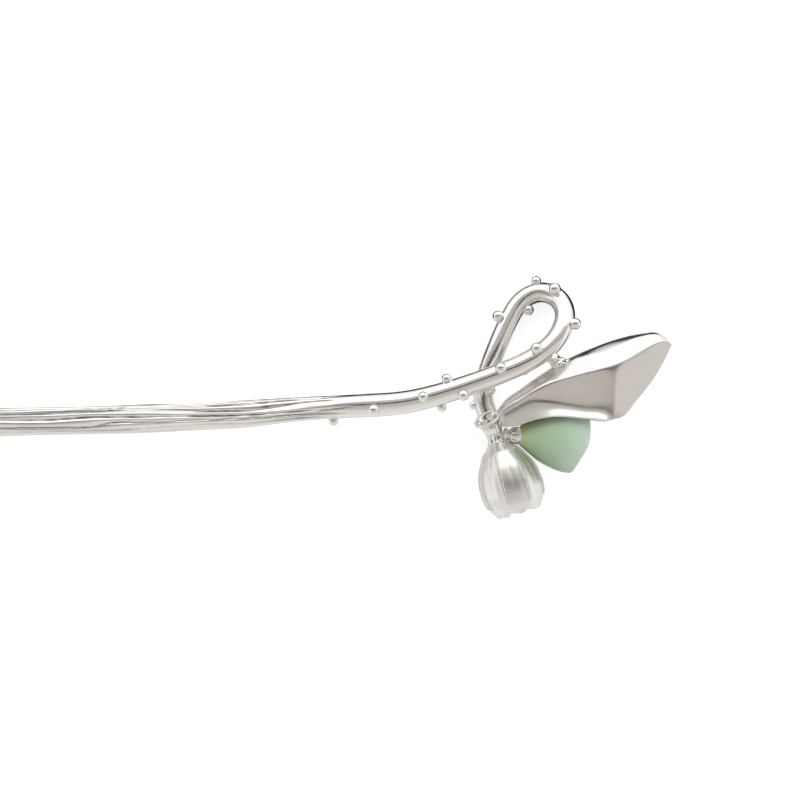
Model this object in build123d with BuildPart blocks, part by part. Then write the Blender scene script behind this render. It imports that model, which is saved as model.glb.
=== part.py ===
import os
from math import cos, radians, sin, tan

from build123d import *

# Decorative hair pin of cast and soldered silver with a carved green stone.
# The pin lies on its side: +X runs along the shaft to the ornament and Z=0 is the table.
# The ornament's middle plane is parallel to the table, at head_height.

# Frame of the ornament
head_height = 4.3

# Shaft: grip, taper and a straight plain tip
shaft_length = 96.0
shaft_d = 3.6
shaft_end_d = 3.0
tip_length = 20.0
tip_d = 2.4
tip_round = 1.0
tip_offset_y = -0.6

# Stem wire with its loop
stem_d = 2.7
tenon_d = 1.6
tenon_length = 5.0
socket_clearance = 0.05
granule_d = 1.25
granule_sink = 0.25

# Collar: the cup at the leaf's base that takes the stem's end
collar_rim_d = 3.9
collar_foot_d = 3.0
collar_height = 2.2
collar_floor = 0.7
collar_clearance = 0.04
collar_tilt = 20.0

# Neck and seed pod, both on the collar's axis
neck_length = 1.7
neck_end_d = 2.7
pod_length = 8.7
pod_d = 7.9
pod_wall = 0.6
face_thickness = 1.0
face_inset = 0.3
seed_d = 0.9
seed_ring_count = 6
seed_ring_d = 3.4
seed_clearance = 0.04
seed_proud = 0.3

# Stone bud with its cap and post, on an axis that leaves the neck
bud_heading = -4.0
bud_cap_d = 1.8
bud_cap_start = 1.8
bud_cap_length = 1.5
bud_cap_seat = 0.3
bud_cap_round = 0.3
post_d = 0.8
post_bite = 2.6
post_clearance = 0.03
bud_length = 8.7
bud_height = 8.6
bud_thickness = 6.0

# Leaf: a thin hood over the stone, open underneath
leaf_length = 21.4
leaf_height = 11.5
leaf_depth = 8.6
leaf_wall = 0.6

# Solder bridge between the loop and the leaf's ridge
bridge_d = 1.8
bridge_leaf_share = 0.36
bridge_stem_along = 30.0

# Axes that the pieces share
collar_centre = Vector(0.3, 0.35, head_height)
pod_axis = Vector(sin(radians(collar_tilt)), -cos(radians(collar_tilt)), 0)
bud_axis = Vector(cos(radians(bud_heading)), sin(radians(bud_heading)), 0)
collar_top = -0.45 * collar_height
collar_foot = collar_top + collar_height
neck_start = collar_foot
pod_start = neck_start + neck_length
bud_origin = collar_centre + pod_axis * (neck_start + post_d / 2 + 0.1)
stem_end = collar_centre + pod_axis * (collar_foot - collar_floor)

# Centre line of the stem wire, from the shaft joint round the loop into the collar
stem_points = [
    Vector(-20.5, 2.05, 5.6),
    Vector(-15.2, 2.3, 5.9),
    Vector(-10.4, 2.6, 6.15),
    Vector(-5.2, 3.9, 6.4),
    Vector(0.4, 5.85, 6.65),
    Vector(5.4, 7.9, 6.45),
    Vector(8.6, 10.4, 5.6),
    Vector(10.0, 13.6, 4.2),
    Vector(8.9, 16.1, 2.6),
    Vector(6.4, 16.8, 1.33),
    Vector(4.0, 15.5, 1.33),
    Vector(2.4, 12.6, 2.3),
    Vector(1.0, 9.3, 3.35),
    Vector(-0.25, 6.0, 3.85),
    collar_centre - pod_axis * 3.2,
    stem_end,
]


def bendRadii(points):
    # Each bend is as large as its two runs allow
    radii = []
    for before, corner, after in zip(points, points[1:], points[2:]):
        arriving = corner - before
        leaving = after - corner
        turn = radians(arriving.get_angle(leaving))
        run = min(arriving.length, leaving.length)
        radii.append(0.45 * run / tan(turn / 2))
    return radii


# Stem wire, with the tenon that enters the shaft
joint_direction = (stem_points[1] - stem_points[0]).normalized()
joint_plane = Plane(origin=stem_points[0], z_dir=joint_direction)
stem_route = FilletPolyline(*stem_points, radius=bendRadii(stem_points))
with BuildPart() as loop_stem:
    with BuildSketch(joint_plane):
        Circle(stem_d / 2)
    sweep(path=stem_route)
    with BuildSketch(joint_plane):
        Circle(tenon_d / 2)
    extrude(amount=-tenon_length)
loop_stem.part.label = "loop_stem"

# Shaft: round sections from the tip's shoulder to the joint, as
# (share of the run, share of the rise, share of the sideways shift, diameter)
tip_x = stem_points[0].X - shaft_length
shoulder_x = tip_x + tip_length
shaft_run = stem_points[0].X - shoulder_x
shaft_rise = stem_points[0].Z - tip_d / 2
shaft_shift = stem_points[0].Y - tip_offset_y
shaft_sections = [
    (0.0, 0.0, 0.0, tip_d),
    (0.08, 0.02, 0.03, tip_d + 0.15),
    (0.25, 0.13, 0.14, shaft_d - 0.5),
    (0.48, 0.38, 0.33, shaft_d),
    (0.7, 0.64, 0.44, shaft_d),
    (0.86, 0.83, 0.68, shaft_d),
    (0.95, 0.94, 0.92, (shaft_d + shaft_end_d) / 2),
]
with BuildPart() as shaft:
    for run_share, rise_share, shift_share, diameter in shaft_sections:
        section_centre = Vector(
            shoulder_x + run_share * shaft_run,
            tip_offset_y + shift_share * shaft_shift,
            tip_d / 2 + rise_share * shaft_rise,
        )
        with BuildSketch(Plane(origin=section_centre, z_dir=(1, 0, 0))):
            Circle(diameter / 2)
    with BuildSketch(joint_plane):
        Circle(shaft_end_d / 2)
    loft()
    with BuildSketch(Plane(origin=(shoulder_x, tip_offset_y, tip_d / 2), z_dir=(-1, 0, 0))):
        Circle(tip_d / 2)
    extrude(amount=tip_length)
    fillet(shaft.faces().sort_by(Axis.X)[0].edges(), tip_round)
    with BuildSketch(joint_plane):
        Circle(tenon_d / 2 + socket_clearance)
    extrude(amount=-(tenon_length + socket_clearance), mode=Mode.SUBTRACT)
shaft.part.label = "shaft"

# Granules: (distance along the wire, angle round it); 0 is up, 90 is left of the wire's run
granule_places = [
    (1.0, -95), (6.2, -20), (12.5, 8), (14.3, -95), (15.6, 95), (17.5, -38), (22.6, 22),
    (27.3, 30), (32.7, -60), (37.4, -45), (40.2, -105), (42.3, 75), (45.6, -70), (55.2, 40),
    (56.8, -80), (4.0, 165), (10.0, -160), (18.6, -145), (25.5, -150), (34.9, 170), (49.1, 180),
]
granule_reach = stem_d / 2 + granule_d / 2 - granule_sink


def granule(along, angle):
    # One ball that sits on the wire, hollowed where the wire passes
    share = along / stem_route.length
    tangent = stem_route % share
    sideways = Vector(0, 0, 1).cross(tangent).normalized()
    upward = tangent.cross(sideways)
    reach = upward * cos(radians(angle)) + sideways * sin(radians(angle))
    centre = stem_route @ share + reach * granule_reach
    with BuildPart() as ball:
        with Locations(Plane(origin=centre, x_dir=tangent, z_dir=reach)):
            Sphere(granule_d / 2)
        add(loop_stem.part, mode=Mode.SUBTRACT)
        add(shaft.part, mode=Mode.SUBTRACT)
    return ball.part


balls = [granule(along, angle) for along, angle in granule_places]
with BuildPart() as stem_granules:
    add(balls)
stem_granules.part.label = "stem_granules"

# Collar: a cup that narrows to its foot, with the stem's end on its floor
collar_plane = Plane(origin=collar_centre, x_dir=(0, 0, 1), z_dir=pod_axis)
with BuildPart() as collar:
    with BuildSketch(collar_plane.offset(collar_top)):
        Circle(collar_rim_d / 2)
    with BuildSketch(collar_plane.offset(collar_foot)):
        Circle(collar_foot_d / 2)
    loft()
    with BuildSketch(collar_plane.offset(collar_top)):
        Circle(stem_d / 2 + collar_clearance)
    extrude(amount=collar_height - collar_floor, mode=Mode.SUBTRACT)
collar.part.label = "collar"

# Neck between the collar's foot and the pod
with BuildPart() as pod_neck:
    with BuildSketch(collar_plane.offset(neck_start)):
        Circle(collar_foot_d / 2)
    with BuildSketch(collar_plane.offset(pod_start)):
        Circle(neck_end_d / 2)
    loft()
pod_neck.part.label = "pod_neck"

# Seed pod: a shell turned about the collar's axis, by shares of its length and of its radius
pod_shape = [(0.13, 0.46), (0.31, 0.82), (0.48, 0.95), (0.63, 1.0), (0.82, 0.94), (1.0, 0.8)]
pod_profile_plane = Plane(origin=collar_centre, x_dir=(0, 0, 1), z_dir=Vector(0, 0, 1).cross(pod_axis))
pod_axis_line = Axis(collar_centre, pod_axis)
pod_end = pod_start + pod_length


def podProfile(inset):
    # Half section from the neck to the mouth, moved inwards from the outer wall
    points = [(neck_end_d / 2 - inset, pod_start + inset)]
    for along, width in pod_shape:
        points.append((width * pod_d / 2 - inset, pod_start + along * pod_length))
    return points


def turnPod(inset):
    points = podProfile(inset)
    with BuildPart() as turned:
        with BuildSketch(pod_profile_plane):
            with BuildLine():
                Polyline((0, points[-1][1]), (0, points[0][1]), points[0])
                Spline(*points)
                Line(points[-1], (0, points[-1][1]))
            make_face()
        revolve(axis=pod_axis_line)
    return turned.part


pod_cavity = turnPod(pod_wall)
with BuildPart() as pod_cup:
    add(turnPod(0))
    add(pod_cavity, mode=Mode.SUBTRACT)
pod_cup.part.label = "pod_cup"

# Seed face: a disc that fills the mouth, with a blind hole for each seed
face_outer = pod_end - face_inset
face_plane = collar_plane.offset(face_outer)
hole_depth = seed_d - seed_proud
with BuildPart() as pod_face:
    add(pod_cavity)
    with BuildSketch(face_plane):
        Circle(pod_d)
    extrude(amount=-face_thickness, mode=Mode.INTERSECT)
    with BuildSketch(face_plane):
        Circle(seed_d / 2 + seed_clearance)
        with PolarLocations(seed_ring_d / 2, seed_ring_count):
            Circle(seed_d / 2 + seed_clearance)
    extrude(amount=-hole_depth, mode=Mode.SUBTRACT)
pod_face.part.label = "pod_face"

with BuildPart(face_plane.offset(seed_proud - seed_d / 2)) as pod_seeds:
    Sphere(seed_d / 2)
    with PolarLocations(seed_ring_d / 2, seed_ring_count):
        Sphere(seed_d / 2)
pod_seeds.part.label = "pod_seeds"

# Post from the neck through the cap into the stone
bud_plane = Plane(origin=bud_origin, x_dir=(0, 0, 1), z_dir=bud_axis)
bud_start = bud_cap_start + bud_cap_length - bud_cap_seat
with BuildPart() as bud_post:
    with BuildSketch(bud_plane):
        Circle(post_d / 2)
    extrude(amount=bud_start + post_bite)
    add(pod_neck.part, mode=Mode.SUBTRACT)
bud_post.part.label = "bud_post"

# Cap: a small round bead, bored for the post
with BuildPart() as bud_cap:
    with BuildSketch(bud_plane.offset(bud_cap_start)):
        Circle(bud_cap_d / 2)
    extrude(amount=bud_cap_length)
    cap_ends = bud_cap.edges().filter_by(GeomType.CIRCLE).sort_by(Axis(bud_origin, bud_axis))
    fillet(cap_ends[0], bud_cap_round)
    with BuildSketch(bud_plane.offset(bud_cap_start)):
        Circle(post_d / 2 + post_clearance)
    extrude(amount=bud_cap_length, mode=Mode.SUBTRACT)
bud_cap.part.label = "bud_cap"

# Stone bud: oval sections by shares of its length and of its height and thickness
bud_shape = [(0.0, 0.3), (0.28, 0.58), (0.62, 0.97), (0.82, 1.0), (1.0, 0.66)]
with BuildPart() as jade_bud:
    for along, size in bud_shape:
        with BuildSketch(bud_plane.offset(bud_start + along * bud_length)):
            Ellipse(size * bud_thickness / 2, size * bud_height / 2)
    loft()
    with BuildSketch(bud_plane.offset(bud_start)):
        Circle(bud_cap_d / 2)
    extrude(amount=bud_cap_seat, mode=Mode.SUBTRACT)
    with BuildSketch(bud_plane.offset(bud_start)):
        Circle(post_d / 2 + post_clearance)
    extrude(amount=post_bite, mode=Mode.SUBTRACT)
jade_bud.part.label = "jade_bud"

# Leaf: hood sections from the collar to the tip, as shares of the leaf's length, height
# and half depth: (along, crest, rim, spread)
leaf_start = collar_centre.X + 0.9
leaf_shape = [
    (0.0, 0.17, -0.01, 0.32),
    (0.13, 0.38, 0.0, 0.58),
    (0.32, 0.62, 0.08, 0.84),
    (0.53, 0.81, 0.07, 0.98),
    (0.72, 0.93, 0.09, 1.0),
    (0.88, 1.0, 0.42, 0.68),
    (1.0, 0.94, 0.76, 0.3),
]


def hood(wall, drop, end_share):
    # Lofted hood, thinner by wall on every side and lower at the rim by drop
    with BuildPart() as body:
        for along, crest_share, rim_share, spread_share in leaf_shape:
            crest = crest_share * leaf_height - wall
            rim = rim_share * leaf_height - drop
            spread = spread_share * leaf_depth / 2 - wall
            rise = crest - rim
            station = leaf_start + along * end_share * leaf_length
            origin = (station, 0, head_height)
            with BuildSketch(Plane(origin=origin, x_dir=(0, 0, -1), z_dir=(1, 0, 0))):
                with BuildLine():
                    Spline(
                        (-spread, rim),
                        (-0.93 * spread, rim + 0.3 * rise),
                        (-0.7 * spread, rim + 0.68 * rise),
                        (0, crest),
                        (0.7 * spread, rim + 0.68 * rise),
                        (0.93 * spread, rim + 0.3 * rise),
                        (spread, rim),
                    )
                    Line((spread, rim), (-spread, rim))
                make_face()
        loft()
    return body.part


rim_drop = 0.8
with BuildPart() as leaf:
    add(hood(0, 0, 1))
    add(hood(leaf_wall, rim_drop, 1 - leaf_wall / leaf_length), mode=Mode.SUBTRACT)
    with BuildSketch(collar_plane.offset(collar_top)):
        Circle(collar_rim_d / 2)
    with BuildSketch(collar_plane.offset(collar_foot)):
        Circle(collar_foot_d / 2)
    loft(mode=Mode.SUBTRACT)
leaf.part.label = "leaf"

# Solder bridge: a short bar from the leaf's ridge to the stem, coped to both
ridge_share = (bridge_leaf_share - leaf_shape[2][0]) / (leaf_shape[3][0] - leaf_shape[2][0])
ridge_crest = leaf_shape[2][1] + ridge_share * (leaf_shape[3][1] - leaf_shape[2][1])
ridge_point = Vector(
    leaf_start + bridge_leaf_share * leaf_length,
    ridge_crest * leaf_height - leaf_wall / 2,
    head_height,
)
bridge_top = stem_route @ (bridge_stem_along / stem_route.length)
bridge_line = bridge_top - ridge_point
with BuildPart() as solder_bridge:
    with BuildSketch(Plane(origin=ridge_point, z_dir=bridge_line)):
        Circle(bridge_d / 2)
    extrude(amount=bridge_line.length)
    add(loop_stem.part, mode=Mode.SUBTRACT)
    add(hood(0, 0, 1), mode=Mode.SUBTRACT)
    add(stem_granules.part, mode=Mode.SUBTRACT)
solder_bridge.part.label = "solder_bridge"

# The origin is under the middle of the whole pin, on the table
pieces = [
    shaft, loop_stem, stem_granules, collar, leaf, solder_bridge, pod_neck, pod_cup,
    pod_face, pod_seeds, bud_post, bud_cap, jade_bud,
]
bounds = Compound([piece.part for piece in pieces]).bounding_box()
to_origin = Location((-bounds.center().X, -bounds.center().Y, -bounds.min.Z))
os.makedirs("parts", exist_ok=True)
for piece in pieces:
    placed = piece.part.moved(to_origin)
    placed.label = piece.part.label
    export_step(placed, f"parts/{placed.label}.step")
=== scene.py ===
import math

import bmesh
import bpy
import numpy as np
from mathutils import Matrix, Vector


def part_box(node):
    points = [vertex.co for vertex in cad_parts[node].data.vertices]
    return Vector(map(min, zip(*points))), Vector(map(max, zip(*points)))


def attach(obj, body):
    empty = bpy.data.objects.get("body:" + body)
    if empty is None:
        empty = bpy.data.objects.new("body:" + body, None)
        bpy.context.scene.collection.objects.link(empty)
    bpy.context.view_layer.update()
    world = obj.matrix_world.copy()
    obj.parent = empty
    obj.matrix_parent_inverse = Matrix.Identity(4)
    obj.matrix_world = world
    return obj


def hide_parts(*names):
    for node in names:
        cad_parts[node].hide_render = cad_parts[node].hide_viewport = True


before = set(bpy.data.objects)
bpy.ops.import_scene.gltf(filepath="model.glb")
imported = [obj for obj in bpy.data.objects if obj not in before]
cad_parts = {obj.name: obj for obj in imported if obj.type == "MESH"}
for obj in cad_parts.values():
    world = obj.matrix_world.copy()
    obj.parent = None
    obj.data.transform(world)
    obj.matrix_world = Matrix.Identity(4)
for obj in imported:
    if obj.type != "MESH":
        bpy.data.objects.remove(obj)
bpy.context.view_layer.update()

mm = 0.001

# The ornament's own zero is near the collar; its place comes from the collar's box
collar = {"centre": (0.3, 0.35, 4.3), "tilt": 20.0, "rimRadius": 1.95, "rimAhead": 0.99,
          "openTurn": 27.0, "openLift": 24.0, "ringShift": (-0.2, -0.1, 1.25)}
collarLow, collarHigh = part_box("collar")
collarTilt = math.radians(collar["tilt"])
rimX = collar["centre"][0] - collar["rimAhead"] * math.sin(collarTilt)
rimY = collar["centre"][1] + collar["rimAhead"] * math.cos(collarTilt)
zero = np.array([
    collarLow.x - (rimX - collar["rimRadius"] * math.cos(collarTilt)) * mm,
    collarHigh.y - (rimY + collar["rimRadius"] * math.sin(collarTilt)) * mm,
    (collarLow.z + collarHigh.z) / 2 - collar["centre"][2] * mm,
])
collarCentre = np.array(collar["centre"])


def linear(hexColour):
    # sRGB hex to linear RGBA
    channels = [int(hexColour[i:i + 2], 16) / 255 for i in (1, 3, 5)]
    return [c / 12.92 if c <= 0.04045 else ((c + 0.055) / 1.055) ** 2.4 for c in channels] + [1.0]


def addNode(tree, kind, inputs=None, **settings):
    # one node with its settings, its values and its links
    node = tree.nodes.new(kind)
    for name, value in settings.items():
        setattr(node, name, value)
    for name, value in (inputs or {}).items():
        if isinstance(value, bpy.types.NodeSocket):
            tree.links.new(value, node.inputs[name])
        else:
            node.inputs[name].default_value = value
    return node


def unit(vectors):
    vectors = np.asarray(vectors, float)
    return vectors / np.linalg.norm(vectors, axis=-1, keepdims=True)


def curveThrough(points, x):
    # smooth curve through given points, by cubic pieces with averaged slopes
    px, py = np.array(points, float).T
    slopes = np.gradient(py, px)
    x = np.clip(x, px[0], px[-1])
    i = np.clip(np.searchsorted(px, x) - 1, 0, len(px) - 2)
    h = px[i + 1] - px[i]
    t = (x - px[i]) / h
    return ((2 * t**3 - 3 * t**2 + 1) * py[i] + (t**3 - 2 * t**2 + t) * h * slopes[i]
            + (3 * t**2 - 2 * t**3) * py[i + 1] + (t**3 - t**2) * h * slopes[i + 1])


def valueAt(points, x):
    # the smooth curve's value at one place
    return float(curveThrough(points, np.array([x]))[0])


def roundedLine(points, perCorner=12):
    # quadratic spline that rounds the corners of a run of points
    points = np.asarray(points, float)
    middles = (points[:-1] + points[1:]) / 2
    t = np.linspace(0, 1, perCorner, endpoint=False)[:, None]
    line = [points[:1] + (middles[0] - points[0]) * t]
    for before, corner, after in zip(middles, points[1:-1], middles[1:]):
        line.append((1 - t) ** 2 * before + 2 * t * (1 - t) * corner + t**2 * after)
    line.append(middles[-1] + (points[-1] - middles[-1]) * t)
    line.append(points[-1:])
    return np.vstack(line)


def evenSteps(line, step):
    # the same line with evenly spaced points
    gaps = np.linalg.norm(np.diff(line, axis=0), axis=1)
    along = np.concatenate([[0], np.cumsum(gaps)])
    places = np.linspace(0, along[-1], max(2, round(along[-1] / step)) + 1)
    return np.column_stack([np.interp(places, along, line[:, k]) for k in range(3)]), places


def addPiece(name, points, faces, attributes=None):
    # mesh piece from points in the ornament's millimetres
    mesh = bpy.data.meshes.new(name)
    mesh.from_pydata((zero + np.asarray(points) * mm).tolist(), [], faces)
    for key, values in (attributes or {}).items():
        values = np.asarray(values, float)
        kind, field = ("FLOAT_VECTOR", "vector") if values.ndim == 2 else ("FLOAT", "value")
        mesh.attributes.new(key, kind, "POINT").data.foreach_set(field, values.ravel())
    mesh.shade_smooth()
    mesh.validate()
    piece = bpy.data.objects.new(name, mesh)
    bpy.context.scene.collection.objects.link(piece)
    return piece


def gridFaces(rows, columns, closed, start=0):
    # quads over a grid of points, closed across when it is a tube
    last = columns if closed else columns - 1
    faces = []
    for r in range(rows - 1):
        for c in range(last):
            d = (c + 1) % columns
            a = start + r * columns
            b = a + columns
            faces.append((a + c, a + d, b + d, b + c))
    return faces


def closeEnds(points, faces, rows, columns, firstTip, lastTip):
    # fans over both ends of a tube
    tip = len(points)
    base = (rows - 1) * columns
    fans = [(tip, (c + 1) % columns, c) for c in range(columns)]
    fans += [(tip + 1, base + c, base + (c + 1) % columns) for c in range(columns)]
    return np.vstack([points, [firstTip, lastTip]]), faces + fans


def outwards(piece):
    # point every face of a closed mesh outwards
    work = bmesh.new()
    work.from_mesh(piece.data)
    bmesh.ops.remove_doubles(work, verts=work.verts, dist=1e-7)
    bmesh.ops.recalc_face_normals(work, faces=work.faces)
    work.to_mesh(piece.data)
    work.free()


def runModifier(piece, tree, values):
    # apply a Geometry Nodes tree and keep a plain mesh
    modifier = piece.modifiers.new(tree.name, "NODES")
    modifier.node_group = tree
    sockets = {item.name: item.identifier for item in tree.interface.items_tree
               if item.item_type == "SOCKET" and item.in_out == "INPUT"}
    for name, value in values.items():
        modifier[sockets[name]] = value
    evaluated = piece.evaluated_get(bpy.context.evaluated_depsgraph_get())
    mesh = bpy.data.meshes.new_from_object(evaluated)
    piece.modifiers.clear()
    piece.data = mesh


def finishPiece(piece, slot, *nodes):
    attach(piece, "root")
    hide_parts(*nodes)


# Materials

def mathNode(tree, operation, *values):
    # the result of one sum on numbers or links
    return addNode(tree, "ShaderNodeMath", dict(enumerate(values)), operation=operation).outputs[0]


def mapRange(tree, value, fromMin, fromMax, toMin, toMax, **settings):
    return addNode(tree, "ShaderNodeMapRange",
                   {"Value": value, "From Min": fromMin, "From Max": fromMax,
                    "To Min": toMin, "To Max": toMax}, **settings).outputs["Result"]


def noise(tree, place, size, detail, roughness=0.5):
    # cloudy pattern with lumps of a size in millimetres
    return addNode(tree, "ShaderNodeTexNoise",
                   {"Vector": place, "Scale": 1 / (size * mm), "Detail": detail,
                    "Roughness": roughness}).outputs["Fac"]


def newMaterial(name):
    material = bpy.data.materials.new(name)
    material.use_nodes = True
    material.node_tree.nodes.clear()
    return material, material.node_tree


patina = "#3A3733"
cloudSize = 4.0
pitShare = 0.25


def silverMaterial(name, tint, roughness, rippleSize, rippleHeight, pitSize, darken):
    # cast silver: near-white metal with ripples and pits, darker where a groove is deep
    material, tree = newMaterial(name)
    place = addNode(tree, "ShaderNodeTexCoord").outputs["Object"]
    ripple = noise(tree, place, rippleSize, 2.0)
    pits = noise(tree, place, pitSize, 3.0)
    cloud = noise(tree, place, cloudSize, 2.0)
    shine = mapRange(tree, cloud, 0.3, 0.7, roughness * 0.8, roughness * 1.25)
    height = mathNode(tree, "MULTIPLY_ADD", pits, pitShare, ripple)
    bump = addNode(tree, "ShaderNodeBump",
                   {"Height": height, "Strength": 1.0, "Distance": rippleHeight * mm})
    groove = addNode(tree, "ShaderNodeAttribute", attribute_name="groove").outputs["Fac"]
    shade = mapRange(tree, groove, 0.35, 1.0, 0.0, darken)
    colour = addNode(tree, "ShaderNodeMix",
                     {"Factor": shade, "A": linear(tint), "B": linear(patina)}, data_type="RGBA")
    shader = addNode(tree, "ShaderNodeBsdfPrincipled",
                     {"Base Color": colour.outputs["Result"], "Metallic": 1.0,
                      "Roughness": shine, "Normal": bump.outputs["Normal"]})
    addNode(tree, "ShaderNodeOutputMaterial", {"Surface": shader.outputs["BSDF"]})
    return material


polishedSilver = silverMaterial("polishedCastSilver", tint="#F4F2EF", roughness=0.10,
                                rippleSize=1.6, rippleHeight=0.010, pitSize=0.25, darken=0.55)
satinSilver = silverMaterial("satinCastSilver", tint="#F1EEEA", roughness=0.24,
                             rippleSize=2.6, rippleHeight=0.012, pitSize=0.18, darken=0.6)
podSilver = silverMaterial("blastedCastSilver", tint="#F1EFEC", roughness=0.3,
                           rippleSize=2.0, rippleHeight=0.010, pitSize=0.15, darken=0.6)
grainSilver = silverMaterial("grainedCastSilver", tint="#F2F0ED", roughness=0.16,
                             rippleSize=1.0, rippleHeight=0.012, pitSize=0.2, darken=0.8)
print("silver materials made")


# colour of the stone from the cap to the far end
stoneStops = [(0.14, "#A8BC84"), (0.45, "#96AC89"), (0.8, "#9AAE94"), (1.1, "#A8B8A8")]
stoneReach = 1.2


def stoneMaterial():
    # green stone, carved and tumbled: waxy, lets light in, cloudy inside
    material, tree = newMaterial("carvedJade")
    place = addNode(tree, "ShaderNodeTexCoord").outputs["Object"]
    along = addNode(tree, "ShaderNodeAttribute", attribute_name="along").outputs["Fac"]
    cloud = noise(tree, place, 3.0, 3.0, 0.45)
    shift = mathNode(tree, "MULTIPLY_ADD", cloud, 0.35, along)
    ramp = addNode(tree, "ShaderNodeValToRGB", {"Fac": mathNode(tree, "DIVIDE", shift, stoneReach)})
    elements = ramp.color_ramp.elements
    while len(elements) < len(stoneStops):
        elements.new(0.5)
    for element, (position, hexColour) in zip(elements, stoneStops):
        element.position = position / stoneReach
        element.color = linear(hexColour)
    fine = noise(tree, place, 0.3, 2.0)
    bump = addNode(tree, "ShaderNodeBump",
                   {"Height": fine, "Strength": 0.4, "Distance": 0.01 * mm})
    shader = addNode(tree, "ShaderNodeBsdfPrincipled",
                     {"Base Color": ramp.outputs["Color"], "Roughness": 0.36, "IOR": 1.61,
                      "Subsurface Weight": 0.45, "Subsurface Radius": (0.8, 1.0, 0.8),
                      "Subsurface Scale": 1.2 * mm, "Normal": bump.outputs["Normal"]})
    addNode(tree, "ShaderNodeOutputMaterial", {"Surface": shader.outputs["BSDF"]})
    return material


jade = stoneMaterial()

# Shaft and stem: one line of wire and rod

rod = {"step": 0.33, "around": 104, "tipRound": 1.2, "joint": 96.3}
grain = {"Grooves": 14.0, "Depth": 0.42, "Waver": 1.5, "Fade Start": 94.5, "Fade End": 100.5,
         "Plain Tip": 17.0, "Plain Full": 27.0, "Seed": 3.0}
shaftPoints = [(-116.5, -0.6, 1.2), (-106.0, -0.6, 1.2), (-96.5, -0.6, 1.2), (-87.0, -0.45, 1.4),
               (-77.5, -0.23, 1.8), (-60.0, 0.27, 2.9), (-43.3, 0.57, 4.0), (-31.1, 1.15, 4.85),
               (-24.3, 1.8, 5.34), (-20.5, 2.05, 5.6)]
stemPoints = [(-20.5, 2.05, 5.6), (-15.2, 2.3, 5.9), (-10.4, 2.6, 6.15), (-5.2, 3.9, 6.4),
              (0.4, 5.85, 6.65), (5.4, 7.9, 6.45), (8.6, 10.4, 5.6), (10.0, 13.6, 4.2),
              (8.9, 16.1, 2.6), (6.4, 16.8, 1.45), (4.0, 15.5, 1.45), (2.4, 12.6, 2.0),
              (1.0, 9.3, 2.6), (-0.25, 6.0, 2.6), (-0.75, 3.3, 2.7), (0.2, 0.6, 3.0)]
# radius of the rod and the wire along the pin, from the tip
rodRadii = [(0, 1.2), (20, 1.2), (28, 1.45), (40, 1.66), (55, 1.8), (64, 1.75), (73, 1.84),
            (80, 1.72), (86, 1.74), (92, 1.55), (96, 1.48), (103, 1.5), (109, 1.42),
            (115, 1.34), (121, 1.3), (156, 1.25)]


def wireLine(points):
    route, places = evenSteps(roundedLine(points), rod["step"])
    tangents = unit(np.gradient(route, axis=0))
    sideways = unit(np.cross([0.0, 0.0, 1.0], tangents))
    upward = np.cross(tangents, sideways)
    return {"route": route, "along": places, "sideways": sideways, "upward": upward}


def tube(name, line, radii, around):
    # rings along a line; every point knows its place along and round the rod
    angles = np.linspace(0, 2 * np.pi, around, endpoint=False)
    outward = (line["upward"][:, None, :] * np.cos(angles)[None, :, None]
               + line["sideways"][:, None, :] * np.sin(angles)[None, :, None])
    rings = line["route"][:, None, :] + outward * radii[:, None, None]
    rows = len(radii)
    faces = gridFaces(rows, around, True)
    faces = [face[::-1] for face in faces]
    points, faces = closeEnds(rings.reshape(-1, 3), faces, rows, around,
                              line["route"][0], line["route"][-1])
    faces[-2 * around:] = [face[::-1] for face in faces[-2 * around:]]
    along = np.append(np.repeat(line["along"], around), [line["along"][0], line["along"][-1]])
    angle = np.append(np.tile(angles, rows), [0, 0])
    outward = np.vstack([outward.reshape(-1, 3), [[0, 0, 0]] * 2])
    piece = addPiece(name, points, faces, {"along": along, "angle": angle, "outward": outward})
    for face in list(piece.data.polygons)[-2 * around:]:
        face.use_smooth = False
    return piece


def newTree(name, sockets):
    # Geometry Nodes tree with geometry and a material, and the sockets that are given
    tree = bpy.data.node_groups.new(name, "GeometryNodeTree")
    kinds = {"Geometry": "Geometry", **sockets, "Material": "Material"}
    for socket, kind in kinds.items():
        tree.interface.new_socket(socket, in_out="INPUT", socket_type="NodeSocket" + kind)
    tree.interface.new_socket("Geometry", in_out="OUTPUT", socket_type="NodeSocketGeometry")
    return tree, addNode(tree, "NodeGroupInput").outputs


def pointValue(tree, name, kind="FLOAT"):
    # what a mesh's points hold under a name
    return addNode(tree, "GeometryNodeInputNamedAttribute", {"Name": name},
                   data_type=kind).outputs["Attribute"]


def closeTree(tree, geometry, material):
    # real geometry with its material, as the tree's result
    real = addNode(tree, "GeometryNodeRealizeInstances", {"Geometry": geometry})
    coated = addNode(tree, "GeometryNodeSetMaterial",
                     {"Geometry": real.outputs["Geometry"], "Material": material})
    addNode(tree, "NodeGroupOutput", {"Geometry": coated.outputs["Geometry"]})


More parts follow.
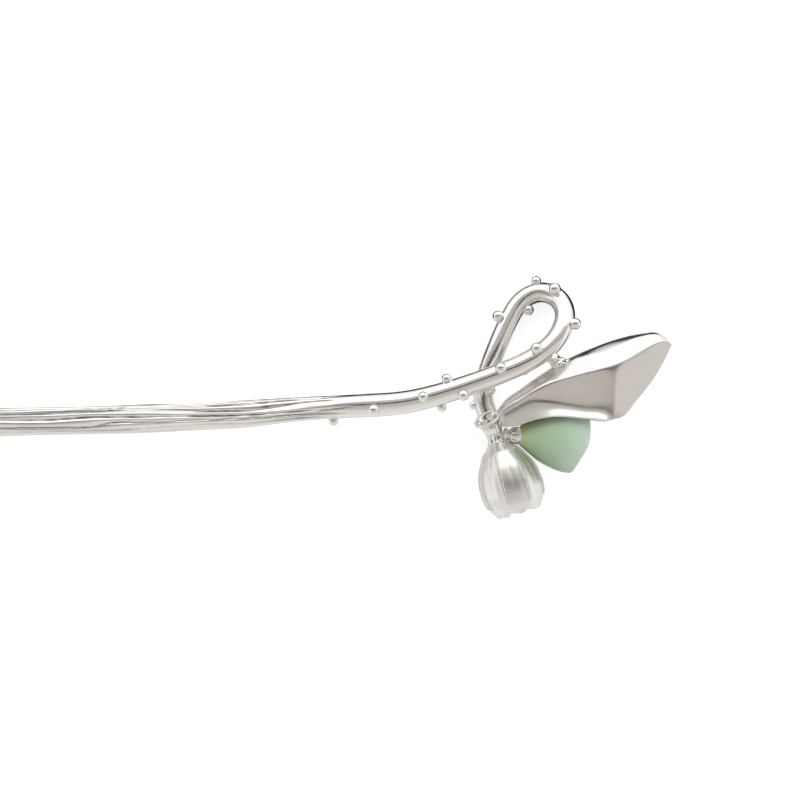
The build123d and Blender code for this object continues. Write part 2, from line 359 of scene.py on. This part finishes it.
def woodGrainTree():
    # grooves that run along a rod, wander, and fade into plain metal at both ends
    tree, given = newTree("woodGrain", dict.fromkeys(grain, "Float"))
    along = pointValue(tree, "along")
    angle = pointValue(tree, "angle")
    spot = addNode(tree, "ShaderNodeCombineXYZ",
                   {"X": mathNode(tree, "COSINE", angle), "Y": mathNode(tree, "SINE", angle),
                    "Z": mathNode(tree, "MULTIPLY", along, 0.06)}).outputs[0]
    wander, lines = [
        addNode(tree, "ShaderNodeTexNoise",
                {"Vector": spot, "W": given["Seed"], "Scale": scale, "Detail": detail},
                noise_dimensions="4D").outputs["Fac"]
        for scale, detail in ((0.8, 1.5), (1.7, 2.0))]
    # narrow valleys where the wave round the rod crosses zero
    lean = mathNode(tree, "MULTIPLY_ADD", wander, given["Waver"], angle)
    phase = mathNode(tree, "MULTIPLY", lean, mathNode(tree, "MULTIPLY", given["Grooves"], 0.5))
    ridge = mathNode(tree, "ABSOLUTE", mathNode(tree, "SINE", phase))
    valley = mathNode(tree, "SUBTRACT", 1.0, mathNode(tree, "POWER", ridge, 0.5))
    # some lines are deeper than others
    strength = mapRange(tree, lines, 0.36, 0.62, 0.45, 1.35)
    fadeOut = mapRange(tree, along, given["Fade Start"], given["Fade End"], 1.0, 0.0,
                       interpolation_type="SMOOTHSTEP")
    fadeIn = mapRange(tree, along, given["Plain Tip"], given["Plain Full"], 0.0, 1.0,
                      interpolation_type="SMOOTHSTEP")
    reach = mathNode(tree, "MULTIPLY", strength, mathNode(tree, "MULTIPLY", fadeOut, fadeIn))
    groove = mathNode(tree, "MULTIPLY", valley, reach)
    inward = mathNode(tree, "MULTIPLY", given["Depth"], -mm)
    cut = mathNode(tree, "MULTIPLY", groove, inward)
    offset = addNode(tree, "ShaderNodeVectorMath",
                     {0: pointValue(tree, "outward", "FLOAT_VECTOR"), "Scale": cut},
                     operation="SCALE")
    kept = addNode(tree, "GeometryNodeStoreNamedAttribute",
                   {"Geometry": given["Geometry"], "Name": "groove", "Value": groove},
                   data_type="FLOAT", domain="POINT")
    moved = addNode(tree, "GeometryNodeSetPosition",
                    {"Geometry": kept.outputs["Geometry"], "Offset": offset.outputs[0]})
    closeTree(tree, moved.outputs["Geometry"], given["Material"])
    return tree


wholeLine = wireLine(shaftPoints + stemPoints[1:])
radii = curveThrough(rodRadii, wholeLine["along"])
tipReach = np.clip(1 - wholeLine["along"] / rod["tipRound"], 0, 1)
radii = radii * np.sqrt(np.clip(1 - tipReach**2, 0.002, 1))
pinRod = tube("pinRod", wholeLine, radii, rod["around"])
runModifier(pinRod, woodGrainTree(), {**grain, "Material": grainSilver})
finishPiece(pinRod, "grained_silver", "shaft", "loop_stem")
print("shaft and stem made")

# Granules on the stem: (millimetres along the wire, degrees round it, size)

granules = {"radius": 0.66, "sink": 0.42, "segments": 28, "rings": 18}
granulePlaces = [
    (1.0, -95, 1.0), (6.2, -20, 1.1), (12.5, 8, 1.0), (14.3, -95, 0.95), (15.9, 80, 1.0),
    (17.3, -38, 1.05), (22.7, 22, 1.1), (27.8, 30, 1.15), (33.3, -60, 1.1), (37.6, -22, 1.2),
    (40.2, -100, 1.0), (42.8, 70, 1.05), (45.8, -62, 1.15), (54.9, 50, 0.8), (56.6, -85, 0.8),
    (4.0, 165, 1.0), (10.0, -160, 1.0), (18.6, -145, 0.9), (25.5, -150, 1.0), (34.9, 170, 1.05),
    (49.1, 180, 1.0)]


def granuleTree():
    # a ball on each point, sized by the point's own number
    tree, given = newTree("granuleBalls", {"Radius": "Float", "Segments": "Int", "Rings": "Int",
                                           "Uneven": "Float", "Seed": "Int"})
    chance = addNode(tree, "FunctionNodeRandomValue",
                     {2: mathNode(tree, "SUBTRACT", 1.0, given["Uneven"]),
                      3: mathNode(tree, "ADD", 1.0, given["Uneven"]), "Seed": given["Seed"]},
                     data_type="FLOAT")
    scale = mathNode(tree, "MULTIPLY", pointValue(tree, "size"), chance.outputs[1])
    ball = addNode(tree, "GeometryNodeMeshUVSphere",
                   {"Segments": given["Segments"], "Rings": given["Rings"],
                    "Radius": mathNode(tree, "MULTIPLY", given["Radius"], mm)})
    smoothBall = addNode(tree, "GeometryNodeSetShadeSmooth", {"Geometry": ball.outputs["Mesh"]})
    placed = addNode(tree, "GeometryNodeInstanceOnPoints",
                     {"Points": given["Geometry"], "Instance": smoothBall.outputs["Geometry"],
                      "Scale": scale})
    closeTree(tree, placed.outputs["Instances"], given["Material"])
    return tree


def onWire(along, degrees, lift):
    # a point beside the stem wire
    place = along + rod["joint"]
    at = {key: np.array([np.interp(place, wholeLine["along"], rows[:, k]) for k in range(3)])
          for key, rows in wholeLine.items() if key != "along"}
    outward = (at["upward"] * math.cos(math.radians(degrees))
               + at["sideways"] * math.sin(math.radians(degrees)))
    return at["route"] + outward * (valueAt(rodRadii, place) + lift)


ballTree = granuleTree()
granulePoints = [onWire(along, degrees, granules["radius"] * size - granules["sink"])
                 for along, degrees, size in granulePlaces]
stemGranules = addPiece("stemGranules", granulePoints, [],
                        {"size": [size for along, degrees, size in granulePlaces]})
runModifier(stemGranules, ballTree,
            {"Radius": granules["radius"], "Segments": granules["segments"],
             "Rings": granules["rings"], "Uneven": 0.03, "Seed": 5, "Material": polishedSilver})
finishPiece(stemGranules, "silver", "stem_granules")
print("granules made")

# Leaf: a folded hood, drawn by lines that run from the collar to the tip

leaf = {"start": 1.2, "end": 22.9, "rows": 210, "crowding": 1.35, "wall": 0.5, "farShare": 0.98,
        "middle": 4.3, "creaseSoft": 0.25, "ridgeSoft": (0.35, 0.08), "edgeSoft": 0.12}
# fine engraved lines and dots by the upper edge, placed by shares of the way across the leaf
engraving = {"depth": 0.07, "lines": 3.0, "dotGap": 0.42, "dotLean": 40, "middle": 0.385,
             "halfWidth": 0.085, "first": 0.3, "width": 0.17, "from": 1.6, "to": 9.0,
             "fadeIn": 0.8, "fadeOut": 1.2, "darkness": 0.8}
# (along X, along Y), in the ornament's millimetres
leafLines = {
    "crest": [(1.2, 1.7), (2.1, 2.9), (4.0, 4.3), (8.1, 7.1), (10.6, 8.45), (12.75, 9.4),
              (16.5, 10.75), (19.5, 11.4), (20.9, 11.5), (22.0, 11.05), (22.9, 10.1)],
    "edge": [(1.2, 1.5), (2.1, 2.6), (4.0, 3.95), (8.1, 6.75), (10.6, 8.1), (12.75, 8.75),
             (14.0, 9.05), (16.5, 10.0), (19.0, 10.95), (20.9, 11.2), (22.0, 10.8), (22.9, 10.05)],
    "ridge": [(1.2, 1.2), (2.1, 2.2), (4.0, 3.3), (6.5, 4.75), (10.5, 6.0), (14.0, 6.95),
              (16.5, 7.75), (19.0, 9.0), (20.9, 10.1), (22.0, 10.4), (22.9, 10.0)],
    "crease": [(1.2, 0.6), (3.0, 1.6), (5.25, 2.9), (7.0, 2.85), (9.0, 2.5), (12.75, 1.9),
               (15.0, 1.75), (16.6, 1.9), (18.0, 2.9), (20.9, 6.6), (22.9, 9.95)],
    "rim": [(1.2, -0.3), (4.0, 0.0), (5.25, 0.45), (7.75, 0.95), (12.75, 0.75), (15.5, 0.6),
            (17.1, 1.25), (18.0, 2.4), (19.5, 4.2), (20.9, 6.1), (22.2, 8.4), (22.9, 9.85)],
}
# (along X, rise above the leaf's middle plane)
leafDepths = {
    "edge": [(1.2, 0.7), (4.0, 1.1), (8.0, 1.6), (12.0, 2.2), (16.5, 2.3), (20.0, 1.9),
             (22.9, 1.3)],
    "ridge": [(1.2, 1.2), (4.0, 2.1), (8.0, 3.1), (12.0, 3.9), (15.0, 4.05), (16.5, 3.89),
              (19.0, 3.1), (20.9, 2.52), (22.0, 2.1), (22.9, 1.7)],
    "crease": [(1.2, 1.1), (4.0, 1.9), (8.0, 2.6), (12.0, 3.05), (14.0, 3.4), (15.4, 3.85),
               (16.6, 3.53), (18.0, 3.11), (20.9, 2.33), (22.9, 1.7)],
    "rim": [(1.2, 1.3), (4.0, 2.4), (8.0, 3.3), (12.0, 3.8), (14.5, 4.15), (16.0, 3.85),
            (17.1, 3.35), (18.0, 3.05), (20.9, 2.25), (22.9, 1.7)],
}


def softCorner(before, corner, after, softness):
    # two points near a corner, so that the spline turns tightly or gently there
    return [corner + (before - corner) * softness, corner + (after - corner) * softness]


def leafSection(x):
    at = {name: np.array([valueAt(leafLines[name], x), valueAt(depths, x)])
          for name, depths in leafDepths.items()}
    crest = np.array([valueAt(leafLines["crest"], x), 0.0])
    over = np.array([crest[0], at["edge"][1] * 0.45])
    soft = float(np.interp(x, [3.0, 9.0], leaf["ridgeSoft"]))
    near = ([at["rim"]] + softCorner(at["rim"], at["crease"], at["ridge"], leaf["creaseSoft"])
            + softCorner(at["crease"], at["ridge"], at["edge"], soft)
            + softCorner(at["ridge"], at["edge"], over, leaf["edgeSoft"]) + [over, crest])
    far = [point * [1, -leaf["farShare"]] for point in reversed(near[:-1])]
    return roundedLine(near + far, 8)


def makeLeaf():
    share = np.linspace(0, 1, leaf["rows"])
    stations = leaf["start"] + (leaf["end"] - leaf["start"]) * (1 - (1 - share) ** leaf["crowding"])
    sections = [leafSection(x) for x in stations]
    columns = len(sections[0])
    points = np.array([[(x, y, leaf["middle"] + z) for y, z in section]
                       for x, section in zip(stations, sections)])
    across = np.tile(np.linspace(0, 1, columns), (leaf["rows"], 1))
    normals = -unit(np.cross(np.gradient(points, axis=0), np.gradient(points, axis=1)))
    x = points[:, :, 0]
    band = np.clip(1 - np.abs(across - engraving["middle"]) / engraving["halfWidth"], 0, 1)
    fade = (np.clip((x - engraving["from"]) / engraving["fadeIn"], 0, 1)
            * np.clip((engraving["to"] - x) / engraving["fadeOut"], 0, 1))
    turns = (across - engraving["first"]) / engraving["width"] * 2 * np.pi
    lines = np.cos(turns * engraving["lines"])
    dots = 0.5 + 0.5 * np.cos(x / engraving["dotGap"] * 2 * np.pi + across * engraving["dotLean"])
    cut = engraving["depth"] * (lines - 1) * (0.4 + 0.6 * dots) * np.sqrt(band) * fade
    points = points + normals * cut[:, :, None]
    groove = np.clip(-cut / engraving["depth"], 0, 1) * engraving["darkness"]
    faces = [face[::-1] for face in gridFaces(leaf["rows"], columns, False)]
    return addPiece("lotusLeaf", points.reshape(-1, 3), faces, {"groove": groove.ravel()})


lotusLeaf = makeLeaf()
wall = lotusLeaf.modifiers.new("wall", "SOLIDIFY")
wall.thickness = leaf["wall"] * mm
wall.offset = -1.0
lotusLeaf.data.materials.append(satinSilver)
finishPiece(lotusLeaf, "silver", "leaf")
print("leaf made")

# Turned pieces: collar and neck

podBase = np.array([0.35, 0.35, 4.3])
podTilt = math.radians(17.5)
podLean = np.array([math.sin(podTilt), -math.cos(podTilt), 0.0])


def turned(name, profile, centre, axis, around, ribs, ribDepth, ribFrom, ribTo):
    # closed profile of (radius, height) turned about an axis, with light ribs between two heights
    profile = np.asarray(profile, float)
    axis = unit(axis)
    side = unit(np.cross(axis, [0.0, 0.0, 1.0]))
    other = np.cross(side, axis)
    angles = np.linspace(0, 2 * np.pi, around, endpoint=False)
    ribbed = (profile[:, 1] > ribFrom) & (profile[:, 1] < ribTo)
    radius = profile[:, :1] + ribbed[:, None] * ribDepth * np.cos(angles * ribs)[None, :]
    rings = (np.asarray(centre) + axis * profile[:, 1][:, None, None]
             + side * (radius * np.cos(angles))[:, :, None]
             + other * (radius * np.sin(angles))[:, :, None])
    faces = gridFaces(len(profile), around, True)
    points, faces = closeEnds(rings.reshape(-1, 3), faces, len(profile), around,
                              np.asarray(centre) + axis * profile[0, 1],
                              np.asarray(centre) + axis * profile[-1, 1])
    piece = addPiece(name, points, faces)
    outwards(piece)
    return piece


turnAngle = math.radians(collar["openTurn"])
liftAngle = math.radians(collar["openLift"])
openAxis = np.array([-math.sin(turnAngle) * math.cos(liftAngle),
                     math.cos(turnAngle) * math.cos(liftAngle), math.sin(liftAngle)])
collarProfile = roundedLine([(0.02, -1.7), (0.9, -1.7), (1.05, -1.3), (1.1, -0.7), (1.25, -0.2),
                             (1.6, 0.2), (1.8, 0.4), (1.8, 0.62), (1.6, 0.68), (1.4, 0.52),
                             (1.2, 0.1), (0.95, -0.5), (0.7, -0.8), (0.02, -0.82)], 5)
leafCollar = turned("leafCollar", collarProfile, collarCentre + np.array(collar["ringShift"]),
                    openAxis, 72, 14, 0.035, -1.6, -0.1)
leafCollar.data.materials.append(polishedSilver)
finishPiece(leafCollar, "silver", "collar")

neckProfile = roundedLine([(0.02, 0.6), (1.0, 0.6), (1.12, 1.1), (1.02, 1.7), (1.0, 2.2),
                           (1.1, 2.7), (1.35, 3.1), (1.2, 3.4), (0.02, 3.4)], 6)
podNeck = turned("podNeck", neckProfile, podBase, podLean, 72, 9, 0.05, 0.7, 3.2)
podNeck.data.materials.append(polishedSilver)
finishPiece(podNeck, "silver", "pod_neck")

# Seed pod: a turned shell with petals, and two rows of fine beads on each ridge between them

pod = {"start": 2.7, "end": 11.5, "lobes": 8, "ridgeHeight": 0.1, "ridgeWidth": 0.085,
       "around": 320, "rows": 90, "scallop": 0.5, "turn": -16.5, "flatten": 0.16,
       "mouthTaper": 0.5, "floorDepth": 0.8, "ridgeGrowth": 2.5, "flatUntil": 1.2}
# the lip, as (further out, further in) from the mouth's edge: it turns in and runs down inside
podLip = [(0.1, 0.12), (0.12, 0.28), (0.02, 0.42), (-0.2, 0.5), (-0.8, 0.5)]
beads = {"radius": 0.12, "gap": 0.27, "run": 8.5, "from": 0.12, "to": 0.9, "aside": 0.13,
         "lift": 0.03}
podLine = [(2.7, 1.15), (3.3, 1.6), (4.0, 2.25), (5.0, 2.85), (5.8, 3.3), (7.0, 3.7), (8.4, 3.9),
           (9.7, 3.85), (10.8, 3.5), (11.5, 3.05)]
podUp = np.array([0.0, 0.0, 1.0])
podSide = np.cross(podUp, podLean)


def podPoint(share, angles):
    # a point on the wall, from the neck at 0 to the mouth at 1: flat petals, narrow ridges
    spacing = 2 * np.pi / pod["lobes"]
    offset = np.mod(angles - math.radians(pod["turn"]) + spacing / 2, spacing) - spacing / 2
    ridge = np.exp(-((offset / pod["ridgeWidth"]) ** 2))
    petal = np.cos(offset / spacing * np.pi)
    grow = np.clip(share * pod["ridgeGrowth"], 0, 1)
    end = pod["end"] + pod["scallop"] * (1 - petal**3)
    along = pod["start"] + share * (end - pod["start"])
    radius = curveThrough(podLine, np.minimum(along, podLine[-1][0]))
    radius = radius - np.clip(along - podLine[-1][0], 0, 1) * pod["mouthTaper"]
    dip = pod["flatten"] * (1 - petal) * np.clip(pod["flatUntil"] - share, 0, 1)
    return along, radius + grow * (pod["ridgeHeight"] * ridge - dip)


def podPlace(along, radius, angles):
    return (podBase + podLean * along[..., None]
            + podSide * (radius * np.sin(angles))[..., None]
            + podUp * (radius * np.cos(angles))[..., None])


def makePod():
    angles = np.linspace(0, 2 * np.pi, pod["around"], endpoint=False)
    rows = []
    for share in np.linspace(0, 1, pod["rows"]):
        rows.append(podPlace(*podPoint(np.full_like(angles, share), angles), angles))
    along, radius = podPoint(np.ones_like(angles), angles)
    for further, inward in podLip:
        rows.append(podPlace(along + further, radius - inward, angles))
    count = len(rows)
    points = np.array(rows).reshape(-1, 3)
    faces = gridFaces(count, pod["around"], True)
    inner = podBase + podLean * (pod["end"] - pod["floorDepth"])
    points, faces = closeEnds(points, faces, count, pod["around"],
                              podBase + podLean * pod["start"], inner)
    piece = addPiece("podShell", points, faces)
    outwards(piece)
    return piece


podShell = makePod()
podShell.data.materials.append(podSilver)
finishPiece(podShell, "grained_silver", "pod_cup")

beadPoints = []
beadShare = beads["gap"] / beads["run"]
for lobe in range(pod["lobes"]):
    middle = math.radians(pod["turn"]) + lobe * 2 * math.pi / pod["lobes"]
    for side, ahead in ((-1, 0.0), (1, beadShare / 2)):
        for share in np.arange(beads["from"], beads["to"], beadShare):
            along, radius = podPoint(np.array([share + ahead]), np.array([middle]))
            angle = np.array([middle]) + side * beads["aside"] / radius
            beadPoints.append(podPlace(along, radius + beads["lift"], angle)[0])
podBeads = addPiece("podBeads", beadPoints, [], {"size": np.ones(len(beadPoints))})
runModifier(podBeads, ballTree,
            {"Radius": beads["radius"], "Segments": 8, "Rings": 6, "Uneven": 0.25, "Seed": 11,
             "Material": satinSilver})
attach(podBeads, "root")
print("pod made")

# Stone bud with its cap

bud = {"heading": -4.0, "start": 3.05, "thickness": 3.0, "widest": 4.35, "endReach": 4.3,
       "endRound": 0.32, "tipBulge": 0.14, "around": 120, "rows": 60,
       "origin": (0.885, -1.257, 4.3)}
budTurn = math.radians(bud["heading"])
budAxis = np.array([math.cos(budTurn), math.sin(budTurn), 0.0])
budSide = np.array([-math.sin(budTurn), math.cos(budTurn), 0.0])
budOrigin = np.array(bud["origin"])
# (along the axis, half height) and the end's outline (height, along the axis)
budFlank = [(3.05, 1.15), (4.2, 2.05), (5.5, 3.0), (7.0, 3.75), (8.5, 4.25), (10.0, 4.35),
            (11.8, 4.2)]
budEnd = [(-4.4, 9.95), (-3.7, 10.2), (-2.9, 10.55), (-1.7, 11.15), (-0.6, 11.6), (0.8, 11.75),
          (3.0, 11.6), (4.4, 11.2)]
# the dome at the far end, as (share of the size, millimetres ahead)
budDome = [(0.99, 0.12), (0.965, 0.22), (0.92, 0.3), (0.84, 0.34), (0.7, 0.38), (0.5, 0.42),
           (0.25, 0.45)]


def makeBud():
    angles = np.linspace(0, 2 * np.pi, bud["around"], endpoint=False)
    # oval with three soft petal edges
    petal = 1 + 0.022 * np.cos(3 * angles + 0.6) + 0.012 * np.cos(7 * angles)
    rows, shares = [], []
    for share in np.linspace(0, 1, bud["rows"]):
        end = curveThrough(budEnd, bud["endReach"] * np.cos(angles)) - bud["endRound"]
        along = bud["start"] + share * (end - bud["start"])
        half = curveThrough(budFlank, along)
        rows.append((along, half * np.cos(angles) * petal,
                     half * bud["thickness"] / bud["widest"] * np.sin(angles) * petal))
        shares.append(share)
    along, height, width = rows[-1]
    # the far end rounds over into a low dome
    for shrink, ahead in budDome:
        end = curveThrough(budEnd, height * shrink) - bud["endRound"]
        rows.append((end + ahead, height * shrink, width * shrink))
        shares.append(1.0)
    points = [budOrigin + budAxis * a[:, None] + budSide * h[:, None] + podUp * w[:, None]
              for a, h, w in rows]
    count = len(points)
    points = np.array(points).reshape(-1, 3)
    faces = gridFaces(count, bud["around"], True)
    tip = budOrigin + budAxis * (valueAt(budEnd, 0.0) + bud["tipBulge"])
    points, faces = closeEnds(points, faces, count, bud["around"],
                              budOrigin + budAxis * bud["start"], tip)
    along = np.append(np.repeat(shares, bud["around"]), [0.0, 1.0])
    piece = addPiece("jadeBud", points, faces, {"along": along})
    outwards(piece)
    return piece


jadeBud = makeBud()
jadeBud.data.materials.append(jade)
finishPiece(jadeBud, "green_stone", "jade_bud")

capProfile = roundedLine([(0.02, 1.0), (0.6, 1.0), (0.85, 1.15), (0.88, 1.4), (0.7, 1.55),
                          (0.6, 1.7), (0.75, 1.85), (1.0, 2.1), (1.1, 2.6), (1.08, 3.05),
                          (0.95, 3.35), (0.7, 3.42), (0.02, 3.42)], 6)
budCap = turned("budCap", capProfile, budOrigin, budAxis, 64, 16, 0.03, 1.05, 1.6)
budCap.data.materials.append(polishedSilver)
finishPiece(budCap, "silver", "bud_cap")
print("stone bud made")

# Solder between the loop and the leaf's ridge: three run-together lumps

solderLumps = [((8.9, 7.55, 5.55), (1.15, 0.8, 0.9)), ((8.2, 8.1, 5.9), (0.9, 0.7, 0.8)),
               ((10.0, 7.55, 5.5), (0.75, 0.55, 0.6))]


def makeSolder():
    points, faces = [], []
    rings = 22
    around = 36
    for centre, radii in solderLumps:
        start = len(points)
        for ring in range(1, rings):
            tilt = math.pi * ring / rings
            for step in range(around):
                turn = 2 * math.pi * step / around
                ray = np.array([math.sin(tilt) * math.cos(turn), math.sin(tilt) * math.sin(turn),
                                math.cos(tilt)])
                lump = 1 + 0.08 * math.sin(3 * turn + 2 * tilt) + 0.05 * math.sin(5 * tilt + turn)
                points.append(np.array(centre) + ray * radii * lump)
        faces += [face[::-1] for face in gridFaces(rings - 1, around, True, start)]
        top = len(points)
        bottom = top + 1
        points += [np.array(centre) + [0, 0, radii[2]], np.array(centre) - [0, 0, radii[2]]]
        last = start + (rings - 2) * around
        faces += [(top, start + k, start + (k + 1) % around) for k in range(around)]
        faces += [(bottom, last + (k + 1) % around, last + k) for k in range(around)]
    piece = addPiece("solderJoint", points, faces)
    outwards(piece)
    return piece


solderJoint = makeSolder()
solderJoint.data.materials.append(polishedSilver)
finishPiece(solderJoint, "silver", "solder_bridge")

# Pieces kept from the frame get their finish

for name, material in (("bud_post", polishedSilver), ("pod_face", satinSilver),
                       ("pod_seeds", polishedSilver)):
    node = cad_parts[name]
    node.data.materials.clear()
    node.data.materials.append(material)
print("finishes set")

# Floor, reflectors, lights and camera

studio = {"fieldWidth": 100.0, "centre": (-11.0, 3.0), "sharpHeight": 5.0, "lens": 150.0,
          "sensor": 36.0, "tableSeen": 0.72, "tableMirrored": 0.3, "skySeen": 1.0,
          "skyOnMatt": 0.75, "shadowStripLift": 0.15}


def emission(name, hexColour, strength):
    material, tree = newMaterial(name)
    glow = addNode(tree, "ShaderNodeEmission", {"Color": linear(hexColour), "Strength": strength})
    addNode(tree, "ShaderNodeOutputMaterial", {"Surface": glow.outputs[0]})
    return material


def floorMaterial():
    # pale matt table, lifted to white where it is seen and a little in reflections
    material, tree = newMaterial("paleTable")
    path = addNode(tree, "ShaderNodeLightPath").outputs
    paper = addNode(tree, "ShaderNodeBsdfDiffuse", {"Color": linear("#B4B4B4")})
    direct = mathNode(tree, "MULTIPLY", path["Is Camera Ray"], studio["tableSeen"])
    clear = mathNode(tree, "MULTIPLY_ADD", path["Is Transmission Ray"], studio["tableSeen"], direct)
    level = mathNode(tree, "MULTIPLY_ADD", path["Is Glossy Ray"], studio["tableMirrored"], clear)
    glow = addNode(tree, "ShaderNodeEmission", {"Color": (1, 1, 1, 1), "Strength": level})
    both = addNode(tree, "ShaderNodeAddShader", {0: paper.outputs[0], 1: glow.outputs[0]})
    addNode(tree, "ShaderNodeOutputMaterial", {"Surface": both.outputs[0]})
    return material


def card(name, corners, material):
    # flat reflector that only shows in reflections
    piece = addPiece(name, corners, [tuple(range(len(corners)))])
    piece.data.materials.append(material)
    piece.visible_camera = False
    piece.visible_diffuse = False
    piece.visible_shadow = False
    piece.visible_transmission = False


def overheadCard(name, fromDegrees, toDegrees, hexColour, height=300.0, half=700.0):
    # level card over the pin, between two angles from straight up towards the loop's side
    near, far = [height * math.tan(math.radians(a)) for a in (fromDegrees, toDegrees)]
    corners = [(-half, near, height), (half, near, height), (half, far, height),
               (-half, far, height)]
    card(name, corners, emission(name + "Glow", hexColour, 1.0))


def paintedShadowStrip(name, line, away, width):
    # dark strip on the table that follows an edge: a painted shadow that stands in for the pin's own
    # shadow beside it, for the dark line that the upper edges reflect
    level = floorZ + studio["shadowStripLift"]
    inner = [(x + away[0], y + away[1], level) for x, y in line]
    outer = [(x + away[0] * width, y + away[1] * width, level) for x, y in reversed(line)]
    card(name, inner + outer, emission(name + "Glow", "#1C1C1B", 1.0))


floorZ = -zero[2] / mm
table = addPiece("tableTop", [(-1500, -1500, floorZ), (1500, -1500, floorZ), (1500, 1500, floorZ),
                              (-1500, 1500, floorZ)], [(0, 1, 2, 3)])
table.data.materials.append(floorMaterial())
overheadCard("lensShade", 3.0, 15.0, "#3E3C3A")
overheadCard("greyCard", 15.0, 40.0, "#BDB9B4")
overheadCard("greyCardFront", -27.0, 3.0, "#BFBBB5")
overheadCard("paleCardFront", -46.0, -27.0, "#D2CFCA")
card("frontWall", [(-900, -500, floorZ), (900, -500, floorZ), (900, -500, 700), (-900, -500, 700)],
     emission("frontWallGlow", "#E4E2DE", 1.0))
card("sideCard", [(130, -400, 290), (800, -400, 290), (800, 60, 290), (130, 60, 290)],
     emission("sideCardGlow", "#D6D3CF", 1.0))
card("backWall", [(-900, 600, 0), (900, 600, 0), (900, 600, 800), (-900, 600, 800)],
     emission("backWallGlow", "#FFFFFF", 1.35))
# painted shadows: dark strips, hidden from the camera, where the pin's shadow would lie on the table
# beside its upper edges
paintedShadowStrip("shaftPaintedShadow", [(-160, -1.5), (-60, 2.5), (-20, 4.5), (-9, 5.5), (-3.5, 7.5)], (0, 3.0), 4.5)
paintedShadowStrip("leafPaintedShadow", [(6, 6.5), (12.7, 9.5), (18, 11.5), (21, 11.9), (23.2, 11.0)], (0, 2.6), 5.0)
paintedShadowStrip("loopPaintedShadow", [(-2.5, 10), (0.5, 15.2), (3.4, 18.2), (7, 18.6), (10.2, 17.6)],
          (-0.8, 1.6), 4.0)

world = bpy.data.worlds.new("whiteTent")
world.use_nodes = True
world.node_tree.nodes.clear()
path = addNode(world.node_tree, "ShaderNodeLightPath").outputs
direct = mathNode(world.node_tree, "MAXIMUM", path["Is Camera Ray"], path["Is Glossy Ray"])
clear = mathNode(world.node_tree, "MAXIMUM", direct, path["Is Transmission Ray"])
strength = mapRange(world.node_tree, clear, 0.0, 1.0, studio["skyOnMatt"], studio["skySeen"])
sky = addNode(world.node_tree, "ShaderNodeBackground",
              {"Color": (1, 1, 1, 1), "Strength": strength})
addNode(world.node_tree, "ShaderNodeOutputWorld", {"Surface": sky.outputs[0]})
bpy.context.scene.world = world


def softbox(name, centre, aim, size, power):
    lamp = bpy.data.lights.new(name, "AREA")
    lamp.shape = "RECTANGLE"
    lamp.size = size[0] * mm
    lamp.size_y = size[1] * mm
    lamp.energy = power
    holder = bpy.data.objects.new(name, lamp)
    holder.location = Vector(zero + np.array(centre) * mm)
    direction = Vector(np.array(aim, float) - np.array(centre, float))
    holder.rotation_euler = direction.to_track_quat("-Z", "Y").to_euler()
    holder.visible_glossy = False
    bpy.context.scene.collection.objects.link(holder)


softbox("topSoftbox", (0, 380, 330), (0, 0, 0), (500, 300), 1.6)
softbox("sideSoftbox", (330, -120, 260), (0, 0, 0), (300, 300), 0.7)

camera = bpy.data.cameras.new("camera")
camera.lens = studio["lens"]
camera.sensor_width = studio["sensor"]
camera.clip_start = 0.01
camera.clip_end = 10
cameraHolder = bpy.data.objects.new("camera", camera)
distance = studio["fieldWidth"] * studio["lens"] / studio["sensor"]
cameraHolder.location = Vector(zero + np.array(
    [studio["centre"][0], studio["centre"][1], studio["sharpHeight"] + distance]) * mm)
bpy.context.scene.collection.objects.link(cameraHolder)
bpy.context.scene.camera = cameraHolder
bpy.context.scene.view_settings.view_transform = "Standard"
print("stage set")
